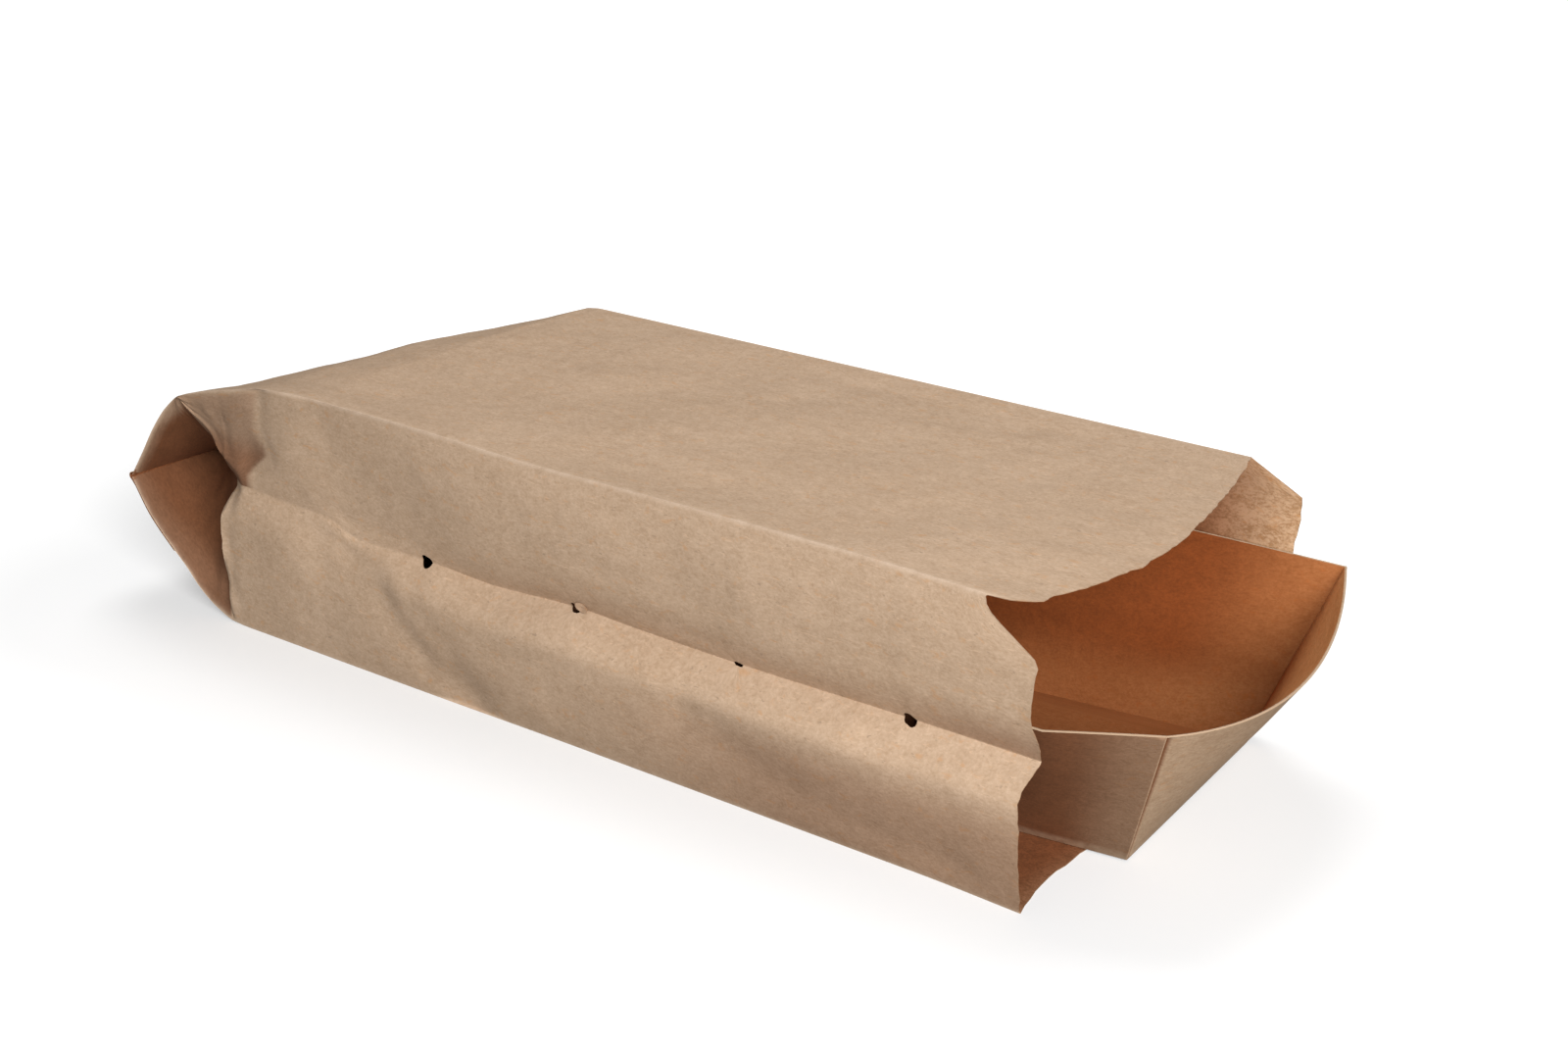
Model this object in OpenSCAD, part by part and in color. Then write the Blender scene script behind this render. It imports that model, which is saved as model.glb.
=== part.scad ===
// Side-gusseted kraft paper bag lying on its back panel, with a folded board tray pushed into its mouth.
// Millimetres. +X points out of the mouth, +Z up, the origin is the middle of the flat back panel.

/* [Bag] */
// Width of the front and back panels
bag_w = 121; // [112:1:135]
// Width of one opened side gusset, which is the height of the bag as it lies
gusset_w = 78.5; // [72:0.5:95]
// Length of the back panel that lies flat
rest_l = 282; // [260:1:360]
// Length of the closed end that rises past the flat length
toe_l = 44.5; // [36:0.5:56]
// Height of the closed seam above the rest face
seam_z = 37; // [30:1:42]
// How far the top panel's near crease runs down towards the seam
near_taper = 84.5; // [76:0.5:100]
// How far the top panel's far crease runs down towards the seam
far_taper = 80.5; // [72:0.5:100]
// Depth to which a gusset stays folded in at the seam
tuck = 40; // [25:1:50]
// Thickness of the paper wall
paper = 0.5; // [0.3:0.1:0.8]

/* [Gusset creases] */
// Height of the centre crease above the rest face
crease_z = 39.5; // [32:0.5:44]
// How far the near centre crease lies inside the panel edge
near_crease = 4; // [1:0.5:5]
// How far the far centre crease lies inside the panel edge
far_crease = 1; // [0.5:0.5:2]
// How far a gusset's lower half bellies out
belly = 1.8; // [0:0.2:3]

/* [Closed end] */
// Length of the strip that is turned over and glued on the back panel
strip_l = 17.5; // [12:0.5:22]
// Thickness of the turned-over strip
strip_t = 1.2; // [0.8:0.1:2]

/* [Mouth] */
// How far the front panel's corners are set back from the mouth
corner_back = 12; // [4:1:20]
// How far the front panel's tongue reaches past its corners
tongue = 16; // [6:1:24]
// How far the gussets reach past the back panel's corners
gusset_out = 3.5; // [0:0.5:8]
// How far the back panel's edge is cut back between its corners
back_cut = 4; // [0:0.5:12]
// How far the back panel's far corner is set back from its near one
back_skew = 7; // [0:0.5:10]

/* [Perforation] */
// Diameter of a vent hole
hole_d = 4.5; // [2:0.5:7]
// Distance between vent holes
hole_pitch = 54.5; // [40:0.5:60]
// Number of vent holes in each gusset
hole_count = 4; // [1:1:4]
// Distance from the mouth to the first vent hole
hole_start = 34; // [24:1:50]

/* [Tray] */
// Thickness of the board
board = 0.6; // [0.4:0.1:1.2]
// Length of the tray's base
tray_l = 160; // [130:5:175]
// Slant height of the side walls
wall_h = 55; // [45:1:62]
// How much wider the rim is than the base, both sides together
wall_spread = 43; // [36:1:48]
// How far the end walls lean out at their corners
end_lean = 20; // [8:1:24]
// How much further the end walls lean out at their far corners
far_lean = 3; // [0:0.5:6]
// How far the middle of an end wall bows out past its corners
end_bow = 11; // [0:0.5:14]
// How far the middle of an end wall's rim lies below its corners
end_dip = 7.5; // [0:0.5:12]
// Turn of the tray in the bag, in degrees
tray_yaw = 7.3; // [0:0.1:8]
// How far the base's near corner stands out of the mouth
tray_out = 6.3; // [0:0.1:20]
// How far the rim's front corners are drawn in on the near side
corner_draw = 7.5; // [0:0.5:12]
// How much higher the rim's front near corner stands than its side
corner_rise = 2; // [0:0.5:4]
// How far the base lies towards the far side of the bag
tray_shift = 5.5; // [0:0.5:8]
// Gap between the tray and the bag
tray_gap = 0.1; // [0.05:0.05:0.5]

/* [Hidden] */
$fn = 32;

kraft = [0.77, 0.62, 0.47];
board_brown = [0.68, 0.50, 0.35];

// Stations along the bag
mouth_x = rest_l / 2;
knee_x = -rest_l / 2;
seam_x = knee_x - toe_l;
strip_x = seam_x + strip_l;
near_start_x = seam_x + near_taper;
far_start_x = seam_x + far_taper;
// Where the side wall's upper fold meets the top crease, and where it meets the centre crease
fold_top_x = seam_x + 26.5;
fold_tip_x = seam_x + 48;
wall_end_x = seam_x + 43.5;
// Where the centre crease steps down to its height along the bag
kink_x = fold_tip_x + 37;
// Room kept between the two leaves of a gusset at the seam
leaf_gap = 0.15;
// Height left between a panel and the leaf folded against it
leaf_step = 2.6 * paper;

function mix(a, b, f) = a + (b - a) * f;
function sort_down(v) = len(v) < 2 ? v :
    let (rest = [for (i = [1:len(v) - 1]) v[i]])
    concat(sort_down([for (x = rest) if (x > v[0]) x]), [v[0]], sort_down([for (x = rest) if (x <= v[0]) x]));
function spaced(v) = [for (i = [0:len(v) - 1]) if (i == 0 || v[max(0, i - 1)] - v[i] > 0.3) v[i]];
function clamp01(f) = max(0, min(1, f));

// Heights of the two top creases and of the back panel along the bag
seam_top = seam_z + leaf_gap + leaf_step;
seam_low = seam_z - leaf_gap - leaf_step;
rise = gusset_w - seam_top;
function near_top(x) = lookup(x, [
    [seam_x, seam_top],
    [mix(seam_x, fold_top_x, 0.5), seam_top + 0.42 * rise],
    [fold_top_x, seam_top + 0.73 * rise],
    [mix(fold_top_x, near_start_x, 0.66), seam_top + 0.96 * rise],
    [near_start_x, gusset_w]
]);
function far_top(x) = lookup(x, [[seam_x, seam_top], [far_start_x, gusset_w]]);
function back_z(x) = lookup(x, [
    [seam_x, seam_low],
    [strip_x, 0.48 * seam_z],
    [mix(strip_x, knee_x, 0.42), 0.19 * seam_z],
    [mix(strip_x, knee_x, 0.7), 0.07 * seam_z],
    [knee_x, 0]
]);
function strip_at(x) = x < strip_x ? strip_t : 0;

// The front panel falls away past a straight ridge that runs from the far crease to the near one
function ridge_run(x) = clamp01((x - fold_top_x) / (far_start_x - fold_top_x));
function ridge_y(x) = bag_w * ridge_run(x);
function ridge_z(x) = x > fold_top_x ? mix(near_top(fold_top_x), gusset_w, ridge_run(x)) : near_top(x);
function top_z(x, y) =
    x >= near_start_x ? gusset_w :
    y <= ridge_y(x) ? mix(near_top(x), ridge_z(x), y / max(0.01, ridge_y(x))) :
    mix(ridge_z(x), far_top(x), (y - ridge_y(x)) / max(0.01, bag_w - ridge_y(x)));

// Centre crease of a gusset: beside the wall along the bag, then folded in towards the seam
function crease_y(x, depth) = lookup(x, [[seam_x, tuck], [fold_tip_x, depth], [fold_tip_x + 20, depth]]);
function crease_h(x) = lookup(x, [
    [seam_x, seam_z],
    [fold_tip_x, crease_z + 5],
    [kink_x, crease_z + 4.5],
    [kink_x + 14, crease_z]
]);

function leaf_angle(x, depth, z) = atan2(abs(z - crease_h(x)), crease_y(x, depth));

// Two points of a gusset's upper leaf, top crease first; w is the distance inside the outer face
function upper_leaf(x, depth, top, w) =
    let (yc = crease_y(x, depth), zc = crease_h(x), a = leaf_angle(x, depth, top - leaf_step))
    x >= fold_tip_x ? [[yc / 3 + w, mix(top, zc, 1 / 3)], [yc * 0.8 + w, mix(top, zc, 0.8)]] :
    x > fold_top_x ?
        let (
            f = (x - fold_top_x) / (fold_tip_x - fold_top_x),
            zf = mix(top - leaf_step, mix(top, zc, 0.8), f),
            af = atan2(zf - zc, yc)
        )
        [[w, mix(top, zf, 0.7) - w * 0.2], [w, zf + w * (1 / cos(af) - tan(af))]] :
    [
        [w * 1.5, top - leaf_step + w * (1 / cos(a) - 1.5 * tan(a))],
        [mix(0, yc, 0.5) + w * sin(a), mix(top - leaf_step, zc, 0.5) + w * cos(a)]
    ];

// Three points of a gusset's lower leaf, centre crease first
function lower_leaf(x, depth, low, w) =
    let (yc = crease_y(x, depth), zc = crease_h(x), zs = low + leaf_step, a = leaf_angle(x, depth, low + leaf_step))
    x >= wall_end_x ? [[w - belly * 0.7, zc * 0.74], [w - belly, zc * 0.45], [w - belly * 0.5, zc * 0.15]] :
    [
        [mix(0, yc, 0.66) + w * sin(a), mix(zs, zc, 0.66) - w * cos(a)],
        [mix(0, yc, 0.33) + w * sin(a), mix(zs, zc, 0.33) - w * cos(a)],
        [w * 1.5, zs - w * (1 / cos(a) - 1.5 * tan(a))]
    ];

function crease_point(x, depth, top, low, w) =
    let (a = (leaf_angle(x, depth, top) + leaf_angle(x, depth, low)) / 2)
    [crease_y(x, depth) + w / max(0.2, sin(a)), crease_h(x)];

// One gusset from its top crease to its bottom crease, as distances inside the panel edge and heights
function gusset(x, depth, top, low, w) = concat(
    upper_leaf(x, depth, top, w),
    [crease_point(x, depth, top, low, w)],
    lower_leaf(x, depth, low, w)
);

// One closed ring of points around the bag, as [y, z] with y from the near panel edge
back_n = 4;
front_n = 10;
function edge_in(x, w) = x > wall_end_x ? w : 1.5 * w;
function ring(x, w) =
    let (low = back_z(x), side = edge_in(x, w), lift = w > 0 ? w : -strip_at(x))
    concat(
        [for (i = [0:back_n]) [mix(side, bag_w - side, i / back_n), low + lift]],
        [for (p = reverse(gusset(x, far_crease, far_top(x), low, w))) [bag_w - p[0], p[1]]],
        [for (i = [front_n:-1:0]) let (y = mix(side, bag_w - side, i / front_n)) [y, top_z(x, y) - w]],
        gusset(x, near_crease, near_top(x), low, w)
    );
function reverse(list) = [for (i = [len(list) - 1:-1:0]) list[i]];

// How far each ring point of the mouth stands out, in the same order as ring()
function arch(f) = 4 * f * (1 - f);
function tongue_at(f) = sin(180 * pow(f, 0.8));
gusset_edge = [gusset_out * 0.9, gusset_out * 0.8, gusset_out, -1, -2, -1];
far_skew = [0, 0, 0, 0.1, 0.4, 0.8];
mouth_cut = concat(
    [for (i = [0:back_n]) -back_cut * arch(i / back_n) - back_skew * i / back_n],
    reverse(gusset_edge - far_skew * back_skew),
    [for (i = [front_n:-1:0]) -corner_back + tongue * tongue_at(i / front_n)],
    gusset_edge
);

// Stations of the shell, from the mouth to the seam; the cavity stops short of the glued end
shell_x = spaced(sort_down([
    mouth_x - corner_back - 6, mouth_x * 0.6, mouth_x * 0.2, -mouth_x * 0.2, kink_x + 26, kink_x + 14, kink_x,
    near_start_x, mix(fold_top_x, near_start_x, 0.66), mix(fold_tip_x, kink_x, 0.3), fold_tip_x, wall_end_x,
    wall_end_x - 3.5, mix(strip_x, knee_x, 0.7), mix(strip_x, knee_x, 0.42), fold_top_x, strip_x + 0.2, strip_x - 0.2,
    mix(seam_x, fold_top_x, 0.5)
]));
cavity_end_x = seam_x + 5;

function place(points, x, cut) = [for (i = [0:len(points) - 1]) [x + cut[i], points[i][0] - bag_w / 2, points[i][1]]];
no_cut = [for (c = mouth_cut) 0];
function shell_rings(w, last_x) = concat(
    place(ring(mouth_x, w), mouth_x, mouth_cut),
    [for (x = shell_x) each place(ring(x, w), x, no_cut)],
    place(ring(last_x, w), last_x, no_cut)
);

// Faces between two neighbouring rings, split into triangles
function band(a, b, n) = [for (i = [0:n - 1]) let (j = (i + 1) % n) each [[a + i, a + j, b + j], [a + i, b + j, b + i]]];
function flip(faces) = [for (f = faces) reverse(f)];

// Triangles between two chains of [index, y] that run side by side, the upper chain first
function zip(a, b, i = 0, j = 0) =
    i == len(a) - 1 && j == len(b) - 1 ? [] :
    j == len(b) - 1 || (i < len(a) - 1 && a[i + 1][1] <= b[j + 1][1]) ?
        concat([[a[i][0], a[i + 1][0], b[j][0]]], zip(a, b, i + 1, j)) :
        concat([[a[i][0], b[j + 1][0], b[j][0]]], zip(a, b, i, j + 1));

// Flat face that closes a ring: the front panel to the upper leaves, then the lower leaves to the back panel
gusset_n = 6;
function end_cap(points, first, base) =
    let (
        far_0 = back_n + 1,
        front_0 = far_0 + gusset_n,
        near_0 = front_0 + front_n + 1,
        front = [for (i = [front_n:-1:0]) front_0 + i],
        upper = [near_0, near_0 + 1, near_0 + 2, far_0 + 3, far_0 + 4, far_0 + 5],
        lower = [near_0 + 5, near_0 + 4, near_0 + 3, near_0 + 2, far_0 + 3, far_0 + 2, far_0 + 1, far_0],
        back = [for (i = [0:back_n]) i]
    )
    concat(
        zip([for (k = front) [base + k, points[first + k][1]]], [for (k = upper) [base + k, points[first + k][1]]]),
        zip([for (k = lower) [base + k, points[first + k][1]]], [for (k = back) [base + k, points[first + k][1]]])
    );

module paper_shell() {
    n = len(mouth_cut);
    rings = len(shell_x) + 2;
    outer = shell_rings(0, seam_x);
    inner = shell_rings(paper, cavity_end_x);
    skin = n * rings;
    walls = [for (k = [0:rings - 2]) each band(k * n, (k + 1) * n, n)];
    lining = flip([for (k = [0:rings - 2]) each band(skin + k * n, skin + (k + 1) * n, n)]);
    rim = band(skin, 0, n);
    seam_cap = flip(end_cap(outer, (rings - 1) * n, (rings - 1) * n));
    cavity_cap = end_cap(inner, (rings - 1) * n, skin + (rings - 1) * n);
    polyhedron(concat(outer, inner), concat(walls, lining, rim, seam_cap, cavity_cap), convexity = 8);
}

// Vent holes through both gussets, on the centre creases
module vent_holes() {
    depth = near_crease + belly + 4;
    for (i = [0:hole_count - 1])
        for (side = [-1, 1])
            translate([mouth_x - hole_start - i * hole_pitch, side * (bag_w / 2 + belly + 1), crease_z])
                rotate([90 * side, 0, 0])
                    cylinder(h = depth, d = hole_d);
}

module bag() {
    color(kraft)
        difference() {
            paper_shell();
            vent_holes();
        }
}

// Tray, in its own frame: the origin is the base's front near corner, +X out of the mouth, the base spans 0 to base_w
base_w = bag_w - wall_spread;
base_y = (bag_w - base_w * cos(tray_yaw) + tray_l * sin(tray_yaw)) / 2 + tray_shift;
rim_near_y = paper + near_crease + tray_gap;
rim_far_y = bag_w - paper - far_crease - tray_gap;
end_n = 10;
side_n = 8;
fold_inset = board * 0.6;
rim_inset = board * 1.1;

// Local y of the rim where it follows a side of the bag
function near_line(x) = (rim_near_y - base_y - x * sin(tray_yaw)) / cos(tray_yaw)
    + corner_draw * clamp01((x + end_lean / 2) / (end_lean * 1.5));
function far_line(x) = (rim_far_y - base_y - x * sin(tray_yaw)) / cos(tray_yaw);
function wall_top(lean) = sqrt(wall_h * wall_h - lean * lean);
function rim_x(f, lean) = mix(-tray_l - lean, lean, f);
function near_rim(f) =
    let (x = rim_x(f, end_lean), y = near_line(x))
    [x, y, wall_top(y) + corner_rise * clamp01((x + end_lean / 2) / (end_lean * 1.5))];
function far_rim(f) = let (x = rim_x(f, end_lean + far_lean), y = far_line(x)) [x, y, wall_top(y - base_w)];
function end_rim(f, a, b, out) =
    [mix(a[0], b[0], f) + out * end_bow * arch(f), mix(a[1], b[1], f), mix(a[2], b[2], f) - end_dip * arch(f)];

// Pairs of base point and rim point around the tray: near side, front end, far side, back end
tray_loop = concat(
    [for (i = [0:side_n - 1]) let (f = i / side_n) [[-tray_l * (1 - f), 0], near_rim(f)]],
    [for (i = [0:end_n - 1]) let (f = i / end_n) [[0, base_w * f], end_rim(f, near_rim(1), far_rim(1), 1)]],
    [for (i = [side_n:-1:1]) let (f = i / side_n) [[-tray_l * (1 - f), base_w], far_rim(f)]],
    [for (i = [end_n:-1:1]) let (f = i / end_n) [[-tray_l, base_w * f], end_rim(f, near_rim(0), far_rim(0), -1)]]
);

function inset_base(p) = [
    max(-tray_l + fold_inset, min(-fold_inset, p[0])),
    max(fold_inset, min(base_w - fold_inset, p[1])),
    board
];
function inset_rim(b, r) =
    let (d = [b[0] - r[0], b[1] - r[1]], l = max(0.01, norm(d)))
    [r[0] + d[0] / l * rim_inset, r[1] + d[1] / l * rim_inset, r[2]];

module tray_shell() {
    n = len(tray_loop);
    base_out = [for (p = tray_loop) [p[0][0], p[0][1], 0]];
    rim_out = [for (p = tray_loop) p[1]];
    rim_in = [for (p = tray_loop) inset_rim(p[0], p[1])];
    base_in = [for (p = tray_loop) inset_base(p[0])];
    middle = [[-tray_l / 2, base_w / 2, 0], [-tray_l / 2, base_w / 2, board]];
    under = [for (i = [0:n - 1]) [4 * n, (i + 1) % n, i]];
    floor_face = [for (i = [0:n - 1]) [4 * n + 1, 3 * n + i, 3 * n + (i + 1) % n]];
    walls = concat(band(0, n, n), band(n, 2 * n, n), band(2 * n, 3 * n, n));
    polyhedron(concat(base_out, rim_out, rim_in, base_in, middle), flip(concat(under, walls, floor_face)), convexity = 6);
}

module tray() {
    color(board_brown)
        translate([mouth_x + tray_out, base_y - bag_w / 2, paper + tray_gap])
            rotate([0, 0, tray_yaw])
                tray_shell();
}

bag();
tray();
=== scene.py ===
"""Looks of the perforated kraft snack bag: the gusseted paper bag lying on its back, and the board tray in its mouth.

The shapes are worked out in millimetres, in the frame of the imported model, and turned into metres when a mesh is made.
"""

import math

import bmesh
import bpy
import numpy as np
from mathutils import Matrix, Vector, noise


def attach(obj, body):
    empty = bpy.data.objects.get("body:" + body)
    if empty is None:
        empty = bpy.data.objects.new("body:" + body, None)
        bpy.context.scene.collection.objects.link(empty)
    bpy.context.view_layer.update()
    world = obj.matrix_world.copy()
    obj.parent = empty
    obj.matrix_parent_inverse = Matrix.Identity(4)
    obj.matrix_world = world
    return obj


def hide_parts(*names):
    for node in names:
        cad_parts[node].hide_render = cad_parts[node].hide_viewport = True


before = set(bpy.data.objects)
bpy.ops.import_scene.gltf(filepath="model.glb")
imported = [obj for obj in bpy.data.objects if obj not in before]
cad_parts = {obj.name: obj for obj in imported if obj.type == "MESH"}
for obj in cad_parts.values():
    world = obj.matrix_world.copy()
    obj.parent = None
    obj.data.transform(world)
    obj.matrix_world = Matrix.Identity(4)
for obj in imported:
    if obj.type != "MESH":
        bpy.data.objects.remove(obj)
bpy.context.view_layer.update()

MM = 0.001

# Bag
BAG_W = 121.0
GUSSET_W = 78.5
MOUTH_X = 141.0
SEAM_X = -185.5
SEAM_Z = 37.0
STRIP_X = -168.0
TUCK = 40.0
NEAR_CREASE = 5.0
FAR_CREASE = 1.0
PAPER = 0.22
STACK = 0.35  # half the height of the leaves pressed together in the seam
FOLD_TOP_X = -159.3
FOLD_TIP_X = -136.0
WALL_END_X = -143.2
FAR_START_X = -105.0
HOLES_X = (105.2, 51.6, -4.0, -59.6)
HOLE_CELLS = 4  # cells from the middle of a vent hole to its edge, each way
CELL = 0.5
UPPER_LEAF = 38.8  # each gusset's leaf above its centre crease, and below it
LOWER_LEAF = 39.5

# Tray
TRAY_L = 160.0
TRAY_BASE_W = 78.0
WALL_H = 55.0
BOARD = 0.6
END_LEAN = 20.0
FAR_LEAN = 3.0
END_BOW = 11.0
END_DIP = 7.5
TRAY_YAW = math.radians(7.3)
TRAY_OUT = 6.3
TRAY_Z = 0.6
TRAY_SHIFT = 5.5
TRAY_SIDE = 200.0  # flat length of a side wall's strip, for its grain
TRAY_END = 85.0
CORNER_DRAW = 7.5
CORNER_RISE = 2.0
NEAR_CLEAR = 4.6
FAR_CLEAR = 0.5 + FAR_CREASE + 0.1
BASE_Y = (BAG_W - TRAY_BASE_W * math.cos(TRAY_YAW) + TRAY_L * math.sin(TRAY_YAW)) / 2 + TRAY_SHIFT


def mix(a, b, f):
    return a + (b - a) * f


def ease(f):
    f = np.clip(f, 0.0, 1.0)
    return f * f * (3 - 2 * f)


def glide(x, knots):
    """A smooth curve through the knots that never overshoots them."""
    kx, ky = (np.array(v, float) for v in zip(*knots))
    step = np.diff(ky) / np.diff(kx)
    slope = np.zeros(len(kx))
    for i in range(1, len(kx) - 1):
        if step[i - 1] * step[i] > 0:
            slope[i] = 2 / (1 / step[i - 1] + 1 / step[i])
    slope[0], slope[-1] = step[0], step[-1]
    x = np.clip(x, kx[0], kx[-1])
    i = np.clip(np.searchsorted(kx, x) - 1, 0, len(kx) - 2)
    w = kx[i + 1] - kx[i]
    t = (x - kx[i]) / w
    return (
        (1 + 2 * t) * (1 - t) ** 2 * ky[i]
        + t * (1 - t) ** 2 * w * slope[i]
        + t * t * (3 - 2 * t) * ky[i + 1]
        + t * t * (t - 1) * w * slope[i + 1]
    )


def straight(x, knots):
    kx, ky = zip(*knots)
    return np.interp(x, kx, ky)


def ripple(x, y, scale, seed, octaves=3):
    """Soft noise between about -1 and 1 over a sheet, for waves and crumples scale millimetres long."""
    flat = np.broadcast_arrays(np.asarray(x, float), np.asarray(y, float))
    made = [
        noise.fractal(Vector((a / scale + seed, b / scale - seed, seed * 0.37)), 0.6, 2.1, octaves)
        for a, b in zip(flat[0].ravel(), flat[1].ravel())
    ]
    return np.array(made).reshape(flat[0].shape)


# The bag's own lines, from the seam to the mouth

def near_top(x):
    return glide(x, [
        (SEAM_X, SEAM_Z + STACK), (-178.9, 46.5), (-173, 54.9), (-166.4, 62.4), (-159.3, 67.7), (-150.8, 70.6),
        (-136, 74.2), (-120.3, 77.3), (-101, 78.5), (-76, 78.6), (-54, 78.5), (-15, 77.7), (39, 78.3), (85, 78.5),
        (129, 77.9), (MOUTH_X, 77.6),
    ])


def far_top(x):
    return glide(x, [
        (SEAM_X, SEAM_Z + STACK), (-150, 56.0), (FAR_START_X - 6, 76.0), (FAR_START_X + 4, 78.4), (MOUTH_X, 78.4),
    ])


def back_z(x):
    return glide(x, [
        (SEAM_X, SEAM_Z - STACK), (-178.5, 26.8), (STRIP_X, 17.2), (-162.8, 13.0), (-156.5, 7.2), (-149.3, 2.9),
        (-141.4, 0.35), (-134, 0.05), (MOUTH_X, 0.05),
    ])


def crease_in(x, depth):
    """How far the gusset's centre crease lies inside the panels' edge."""
    run = np.clip((x - SEAM_X) / (FOLD_TIP_X - SEAM_X), 0, 1)
    open_depth = depth * glide(x, [(FOLD_TIP_X, 0.45), (-100, 0.5), (-60, 0.8), (0, 1.0), (MOUTH_X, 1.0)])
    return mix(TUCK, open_depth, 0.35 * ease(run) + 0.65 * run)


def crease_z(x):
    return glide(x, [
        (SEAM_X, SEAM_Z), (FOLD_TIP_X, 44.2), (-117, 43.4), (-99, 42.9), (-87, 38.8), (-56, 38.4),
        (-35, 37.4), (-2, 38.7), (18, 38.1), (54, 37.6), (107, 38.0), (MOUTH_X, 37.8),
    ])


def fold_z(x, top):
    """Height at which the side wall's upper leaf turns in to the pocket at the closed end."""
    fold = glide(x, [(FOLD_TOP_X, 67.3), (-154.5, 61.0), (-146.5, 53.6), (FOLD_TIP_X, 48.4)])
    return np.minimum(fold, top - 0.3)


def flap_bend(z):
    """Where along the bag the side wall's end bends inwards, at each height."""
    return glide(z, [(48, -131.0), (50.7, -129.0), (57, -122.6), (63.6, -126.0), (76, -123.0)])


def flap_in(x, z, top):
    """How far the side wall's end rounds inwards, left of a bend that runs down from the top crease."""
    return 4 * np.tanh(0.055 * np.maximum(0, flap_bend(z) - x - 1.0)) * ease((top - z) / 13)


def top_z(x, y):
    """Front panel: flat along the bag, then falling past a ridge that crosses it towards the near fold."""
    run = np.clip((x - FOLD_TOP_X) / (FAR_START_X - FOLD_TOP_X), 0, 1)
    ridge = BAG_W * run
    near = near_top(x)
    ridge_top = mix(near_top(FOLD_TOP_X), GUSSET_W, run) + 0.7 * np.exp(-((run - 0.6) / 0.1) ** 2) * (run > 0)
    ridge_top = np.where(run > 0, ridge_top, near)
    before = mix(near, ridge_top, y / np.maximum(ridge, 0.01))
    after = mix(ridge_top, far_top(x), (y - ridge) / np.maximum(BAG_W - ridge, 0.01))
    return np.where(run >= 1, mix(near, far_top(x), y / BAG_W), np.where(y <= ridge, before, after))


def soft_top_z(x, y):
    reach = np.minimum(3.5, np.minimum(y, BAG_W - y))
    return sum(top_z(x, y + reach * k) for k in (-1, -0.5, 0, 0.5, 1)) / 5


# Steps round the bag: fractions of each panel and leaf, finest at the vent holes

def leaf_steps(length, rest):
    fine = [k * CELL for k in range(HOLE_CELLS + 1)]
    return np.array(fine + rest + [length]) / length


UPPER = 1 - leaf_steps(UPPER_LEAF, [
    3, 4, 5, 6.2, 7.5, 9, 10.5, 12, 13.5, 15, 17, 19, 21, 23, 25, 27, 29, 31, 33, 35, 36.6, 37.6, 38.3,
])[::-1]
LOWER = leaf_steps(LOWER_LEAF, [
    3, 4, 5, 6.2, 7.5, 9, 10.5, 12, 14, 16, 18, 20.5, 23, 25.5, 28, 30.5, 33, 35.5, 37.3, 38.5, 39.1,
])
FOLD_AT = 12  # the step at which the upper leaf folds in, counted from the centre crease
FRONT_N = 72
BACK_N = 32


def panel_steps(n):
    """Even steps across a panel, with one close to each edge so that the edge stays a crisp fold."""
    inner = np.linspace(0, 1, n + 1)[1:-1]
    return np.concatenate([[0, 0.006], inner, [0.994, 1]])


def upper_leaf(x, top, depth):
    """From the top crease to the centre crease: distance inside the panel's edge, and height."""
    yc, zc = crease_in(x, depth), crease_z(x)
    f = UPPER
    open_z = mix(top, zc, f)
    tight = ease((x + 95) / 65)
    steep = yc * np.clip((f - 0.5) / 0.5, 0, 1) ** 2 - 0.9 * np.sin(math.pi * np.clip(f / 0.6, 0, 1))
    open_in = mix(yc * f, steep, tight) + flap_in(x, open_z, top) * (1 - ease((f - 0.7) / 0.3))
    k = len(f) - 1 - FOLD_AT
    first, second = f[: k + 1] / f[k], (f[k:] - f[k]) / (1 - f[k])
    if x > FOLD_TOP_X:
        zb = min(fold_z(x, top), top - 0.4)
        wall_z = mix(top, zb, first)
        wall_in = flap_in(x, wall_z, top)
        fold_in = np.concatenate([wall_in, mix(wall_in[-1], yc, second)[1:]])
        fold_h = np.concatenate([wall_z, mix(zb, zc, second)[1:]])
    else:
        gathered = np.concatenate([first * 0.02, mix(0.02, 1, second)[1:]])
        spread = mix(gathered, f, ease((FOLD_TOP_X - x) / 9))
        fold_in, fold_h = yc * spread, mix(top, zc, spread)
    share = ease((x - FOLD_TIP_X + 3) / 9)
    return mix(fold_in, open_in, share), mix(fold_h, open_z, share)


def lower_leaf(x, low, depth):
    """From the centre crease to the bottom crease."""
    yc, zc = crease_in(x, depth), crease_z(x)
    g = LOWER
    lip = 11.0 / LOWER_LEAF
    belly = glide(x, [(WALL_END_X, 0.8), (-100, 1.2), (-20, 3.1), (100, 3.3), (MOUTH_X, 2.7)])
    tuck_under = glide(x, [(WALL_END_X, 0), (-60, 0.4), (0, 1.0), (110, 1.0), (MOUTH_X, 0)])
    open_in = (yc + belly) * (1 - np.sin(math.pi / 2 * np.clip(g / lip, 0, 1)))
    open_in = open_in - belly + (belly + tuck_under) * np.clip((g - lip) / (1 - lip), 0, 1) ** 2
    bend = 2.2 * np.sin(math.pi * g)
    fold_in = yc * (1 - g) + bend * 0.6
    share = ease((x - WALL_END_X + 0.7) / 1.4)
    return mix(fold_in, open_in, share), mix(zc, low, g)


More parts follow.
